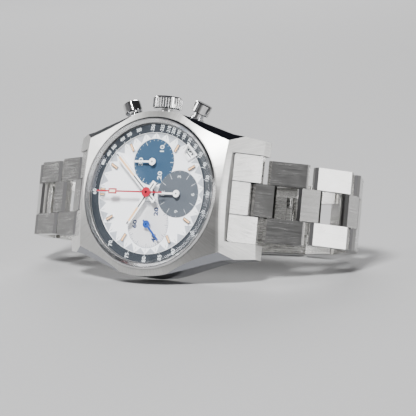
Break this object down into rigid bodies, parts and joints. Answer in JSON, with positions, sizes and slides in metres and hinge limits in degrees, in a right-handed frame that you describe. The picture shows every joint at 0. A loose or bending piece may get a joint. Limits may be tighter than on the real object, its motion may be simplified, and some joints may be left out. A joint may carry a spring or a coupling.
{
  "type": "chronograph wristwatch",
  "caption": "Steel chronograph wristwatch with octagonal case, recessed counters, crown, push buttons and an open ladder bracelet with folding clasp.",
  "frame": {"origin": "on the case axis, in the outer flat face of the case back", "axes": "+X to 6 o'clock, +Y out of the case back, +Z to 3 o'clock and the crown; the dial faces -Y"},
  "size_m": [0.0848, 0.0473, 0.0404],
  "materials": {
    "case_steel": "brushed top, polished bevels",
    "polished_steel": "mirror polished",
    "link_steel": "brushed lengthwise, polished bevels",
    "sapphire": "clear, domed",
    "seal_rubber": "matt",
    "dial_silver": "sunburst silver-white lacquer, printed",
    "track_black": "matt slate lacquer, printed",
    "white_lacquer": "gloss white",
    "date_white": "matt white, printed numbers",
    "hand_silver": "polished, pale lume",
    "hand_red": "lacquer",
    "hand_blue": "lacquer",
    "movement_rhodium": "striped and grained",
    "gear_brass": "circular grained",
    "rotor_steel": "striped"
  },
  "bodies": {
    "case": {"case_middle": "case_steel", "bezel": "polished_steel", "crystal": "sapphire", "gaskets": "seal_rubber", "case_back": "case_steel", "back_crystal": "sapphire", "dial": "dial_silver", "tachymeter_ring": "track_black", "date_frame": "white_lacquer", "movement_holder": "movement_rhodium", "main_plate": "movement_rhodium", "movement_bridges": "movement_rhodium", "bridge_screws": "polished_steel", "rotor_post": "polished_steel", "case_tubes": "polished_steel", "end_links": "case_steel", "spring_bars": "polished_steel"},
    "minute_hand": {"minute_hand": "hand_silver", "centre_wheel": "gear_brass"},
    "hour_hand": {"hour_hand": "hand_silver"},
    "small_seconds": {"small_seconds_hand": "hand_blue", "fourth_wheel": "gear_brass"},
    "third_wheel": {"third_wheel": "gear_brass"},
    "barrel": {"mainspring_barrel": "gear_brass"},
    "date_ring": {"date_ring": "date_white"},
    "chronograph_hand": {"chronograph_hand": "hand_red"},
    "minute_counter": {"minute_counter_hand": "white_lacquer"},
    "hour_counter": {"hour_counter_hand": "white_lacquer"},
    "rotor": {"winding_rotor": "rotor_steel"},
    "balance": {"balance_wheel": "gear_brass"},
    "crown_slide": {"setting_lever": "movement_rhodium"},
    "crown": {"crown": "polished_steel", "winding_stem": "polished_steel"},
    "pusher_start": {"pusher_start": "polished_steel"},
    "pusher_reset": {"pusher_reset": "polished_steel"},
    "rung_6_1": {"rung_6_1": "link_steel"},
    "outer_links_6_1": {"outer_links_6_1": "link_steel"},
    "rung_6_2": {"rung_6_2": "link_steel"},
    "outer_links_6_2": {"outer_links_6_2": "link_steel"},
    "rung_6_3": {"rung_6_3": "link_steel"},
    "outer_links_6_3": {"outer_links_6_3": "link_steel"},
    "rung_6_4": {"rung_6_4": "link_steel"},
    "outer_links_6_4": {"outer_links_6_4": "link_steel"},
    "rung_6_5": {"rung_6_5": "link_steel"},
    "outer_links_6_5": {"outer_links_6_5": "link_steel"},
    "rung_12_1": {"rung_12_1": "link_steel"},
    "outer_links_12_1": {"outer_links_12_1": "link_steel"},
    "rung_12_2": {"rung_12_2": "link_steel"},
    "outer_links_12_2": {"outer_links_12_2": "link_steel"},
    "rung_12_3": {"rung_12_3": "link_steel"},
    "outer_links_12_3": {"outer_links_12_3": "link_steel"},
    "rung_12_4": {"rung_12_4": "link_steel"},
    "outer_links_12_4": {"outer_links_12_4": "link_steel"},
    "rung_12_5": {"rung_12_5": "link_steel"},
    "outer_links_12_5": {"outer_links_12_5": "link_steel"},
    "rung_12_6": {"rung_12_6": "link_steel"},
    "outer_links_12_6": {"outer_links_12_6": "link_steel"},
    "clasp_inner": {"clasp_inner_blade": "link_steel"},
    "clasp_middle": {"clasp_middle_blade": "link_steel"},
    "clasp_cover": {"clasp_cover": "link_steel"}
  },
  "joints": [
    {"name": "minute_turn", "type": "hinge", "parent": "case", "child": "minute_hand", "pos_m": [0, -0.0084, 0], "axis": [0, 1, 0], "continuous": true},
    {"name": "hour_turn", "type": "hinge", "parent": "case", "child": "hour_hand", "pos_m": [0, -0.0084, 0], "axis": [0, 1, 0], "continuous": true},
    {"name": "seconds_turn", "type": "hinge", "parent": "case", "child": "small_seconds", "pos_m": [0, -0.0084, -0.00696], "axis": [0, 1, 0], "continuous": true},
    {"name": "third_turn", "type": "hinge", "parent": "case", "child": "third_wheel", "pos_m": [0.00219, -0.0084, -0.00372], "axis": [0, 1, 0], "continuous": true},
    {"name": "barrel_turn", "type": "hinge", "parent": "case", "child": "barrel", "pos_m": [-0.00601, -0.0084, 0.00189], "axis": [0, 1, 0], "continuous": true},
    {"name": "date_turn", "type": "hinge", "parent": "case", "child": "date_ring", "pos_m": [0, -0.0084, 0], "axis": [0, 1, 0], "continuous": true},
    {"name": "chronograph_turn", "type": "hinge", "parent": "case", "child": "chronograph_hand", "pos_m": [0, -0.0084, 0], "axis": [0, 1, 0], "continuous": true},
    {"name": "minute_counter_turn", "type": "hinge", "parent": "case", "child": "minute_counter", "pos_m": [0, -0.0084, 0.00696], "axis": [0, 1, 0], "continuous": true},
    {"name": "hour_counter_turn", "type": "hinge", "parent": "case", "child": "hour_counter", "pos_m": [0.00696, -0.0084, 0], "axis": [0, 1, 0], "continuous": true},
    {"name": "rotor_turn", "type": "hinge", "parent": "case", "child": "rotor", "pos_m": [0, -0.0084, 0], "axis": [0, 1, 0], "continuous": true},
    {"name": "balance_swing", "type": "hinge", "parent": "case", "child": "balance", "pos_m": [0.0079, -0.0084, -0.0056], "axis": [0, 1, 0], "range_deg": [-150, 150], "stiffness_Nm_per_rad": 0.000002},
    {"name": "crown_pull", "type": "slide", "parent": "case", "child": "crown_slide", "axis": [0, 0, 1], "range_m": [0, 0.0012]},
    {"name": "crown_turn", "type": "hinge", "parent": "crown_slide", "child": "crown", "pos_m": [0, -0.00505, 0], "axis": [0, 0, 1], "continuous": true},
    {"name": "pusher_start_press", "type": "slide", "parent": "case", "child": "pusher_start", "axis": [0.4226, 0, -0.9063], "range_m": [0, 0.0007], "stiffness_N_per_m": 1500, "springref_m": -0.0005},
    {"name": "pusher_reset_press", "type": "slide", "parent": "case", "child": "pusher_reset", "axis": [-0.4226, 0, -0.9063], "range_m": [0, 0.0007], "stiffness_N_per_m": 1500, "springref_m": -0.0005},
    {"name": "clasp_swing", "type": "hinge", "parent": "outer_links_12_6", "child": "clasp_inner", "pos_m": [-0.02048, 0.03268, 0], "axis": [0, 0, 1], "range_deg": [0, 14]},
    {"name": "clasp_unfold", "type": "hinge", "parent": "clasp_inner", "child": "clasp_middle", "pos_m": [0.0135, 0.03218, 0], "axis": [0, 0, -1], "range_deg": [0, 120]},
    {"name": "clasp_cover_turn", "type": "hinge", "parent": "clasp_middle", "child": "clasp_cover", "pos_m": [-0.0135, 0.03298, 0], "axis": [0, 0, 1], "range_deg": [0, 120]},
    {"name": "hinge_6_1", "type": "hinge", "parent": "case", "child": "rung_6_1", "pos_m": [0.02255, -0.0011, 0], "axis": [0, 0, 1], "range_deg": [-15, 0]},
    {"name": "hinge_6_2", "type": "hinge", "parent": "rung_6_1", "child": "outer_links_6_1", "pos_m": [0.02515, 0.00093, 0], "axis": [0, 0, 1], "range_deg": [-8, 0]},
    {"name": "hinge_6_3", "type": "hinge", "parent": "outer_links_6_1", "child": "rung_6_2", "pos_m": [0.03079, 0.00473, 0], "axis": [0, 0, 1], "range_deg": [-18, 0]},
    {"name": "hinge_6_4", "type": "hinge", "parent": "rung_6_2", "child": "outer_links_6_2", "pos_m": [0.03316, 0.00703, 0], "axis": [0, 0, 1], "range_deg": [-14, 0]},
    {"name": "hinge_6_5", "type": "hinge", "parent": "outer_links_6_2", "child": "rung_6_3", "pos_m": [0.03753, 0.01224, 0], "axis": [0, 0, 1], "range_deg": [-43, 0]},
    {"name": "hinge_6_6", "type": "hinge", "parent": "rung_6_3", "child": "outer_links_6_3", "pos_m": [0.03782, 0.01552, 0], "axis": [0, 0, 1], "range_deg": [-35, 0]},
    {"name": "hinge_6_7", "type": "hinge", "parent": "outer_links_6_3", "child": "rung_6_4", "pos_m": [0.03527, 0.02183, 0], "axis": [0, 0, 1], "range_deg": [-20, 0]},
    {"name": "hinge_6_8", "type": "hinge", "parent": "rung_6_4", "child": "outer_links_6_4", "pos_m": [0.03343, 0.02456, 0], "axis": [0, 0, 1], "range_deg": [-20, 0]},
    {"name": "hinge_6_9", "type": "hinge", "parent": "outer_links_6_4", "child": "rung_6_5", "pos_m": [0.02854, 0.02929, 0], "axis": [0, 0, 1], "range_deg": [-22, 0]},
    {"name": "hinge_6_10", "type": "hinge", "parent": "rung_6_5", "child": "outer_links_6_5", "pos_m": [0.02568, 0.03094, 0], "axis": [0, 0, 1], "range_deg": [-24, 0]},
    {"name": "hinge_12_1", "type": "hinge", "parent": "case", "child": "rung_12_1", "pos_m": [-0.02255, -0.0011, 0], "axis": [0, 0, 1], "range_deg": [0, 15]},
    {"name": "hinge_12_2", "type": "hinge", "parent": "rung_12_1", "child": "outer_links_12_1", "pos_m": [-0.02515, 0.00093, 0], "axis": [0, 0, 1], "range_deg": [0, 8]},
    {"name": "hinge_12_3", "type": "hinge", "parent": "outer_links_12_1", "child": "rung_12_2", "pos_m": [-0.03115, 0.00412, 0], "axis": [0, 0, 1], "range_deg": [0, 8]},
    {"name": "hinge_12_4", "type": "hinge", "parent": "rung_12_2", "child": "outer_links_12_2", "pos_m": [-0.03407, 0.00567, 0], "axis": [0, 0, 1], "range_deg": [0, 8]},
    {"name": "hinge_12_5", "type": "hinge", "parent": "outer_links_12_2", "child": "rung_12_3", "pos_m": [-0.04013, 0.00876, 0], "axis": [0, 0, 1], "range_deg": [0, 26]},
    {"name": "hinge_12_6", "type": "hinge", "parent": "rung_12_3", "child": "outer_links_12_3", "pos_m": [-0.04246, 0.01109, 0], "axis": [0, 0, 1], "range_deg": [0, 38]},
    {"name": "hinge_12_7", "type": "hinge", "parent": "outer_links_12_3", "child": "rung_12_4", "pos_m": [-0.04422, 0.01766, 0], "axis": [0, 0, 1], "range_deg": [0, 36]},
    {"name": "hinge_12_8", "type": "hinge", "parent": "rung_12_4", "child": "outer_links_12_4", "pos_m": [-0.04348, 0.02088, 0], "axis": [0, 0, 1], "range_deg": [0, 33]},
    {"name": "hinge_12_9", "type": "hinge", "parent": "outer_links_12_4", "child": "rung_12_5", "pos_m": [-0.03929, 0.02624, 0], "axis": [0, 0, 1], "range_deg": [0, 23]},
    {"name": "hinge_12_10", "type": "hinge", "parent": "rung_12_5", "child": "outer_links_12_5", "pos_m": [-0.03666, 0.02822, 0], "axis": [0, 0, 1], "range_deg": [0, 22]},
    {"name": "hinge_12_11", "type": "hinge", "parent": "outer_links_12_5", "child": "rung_12_6", "pos_m": [-0.0304, 0.03088, 0], "axis": [0, 0, 1], "range_deg": [0, 16]},
    {"name": "hinge_12_12", "type": "hinge", "parent": "rung_12_6", "child": "outer_links_12_6", "pos_m": [-0.02721, 0.03173, 0], "axis": [0, 0, 1], "range_deg": [0, 15]}
  ],
  "couplings": [
    {"joint": "hour_turn", "follows": "minute_turn", "ratio": 0.083333},
    {"joint": "seconds_turn", "follows": "minute_turn", "ratio": 60},
    {"joint": "third_turn", "follows": "minute_turn", "ratio": -8},
    {"joint": "barrel_turn", "follows": "minute_turn", "ratio": -0.15},
    {"joint": "date_turn", "follows": "minute_turn", "ratio": 0.0013441},
    {"joint": "minute_counter_turn", "follows": "chronograph_turn", "ratio": 0.033333},
    {"joint": "hour_counter_turn", "follows": "chronograph_turn", "ratio": 0.0013889},
    {"joint": "clasp_cover_turn", "follows": "clasp_unfold", "ratio": 1}
  ]
}
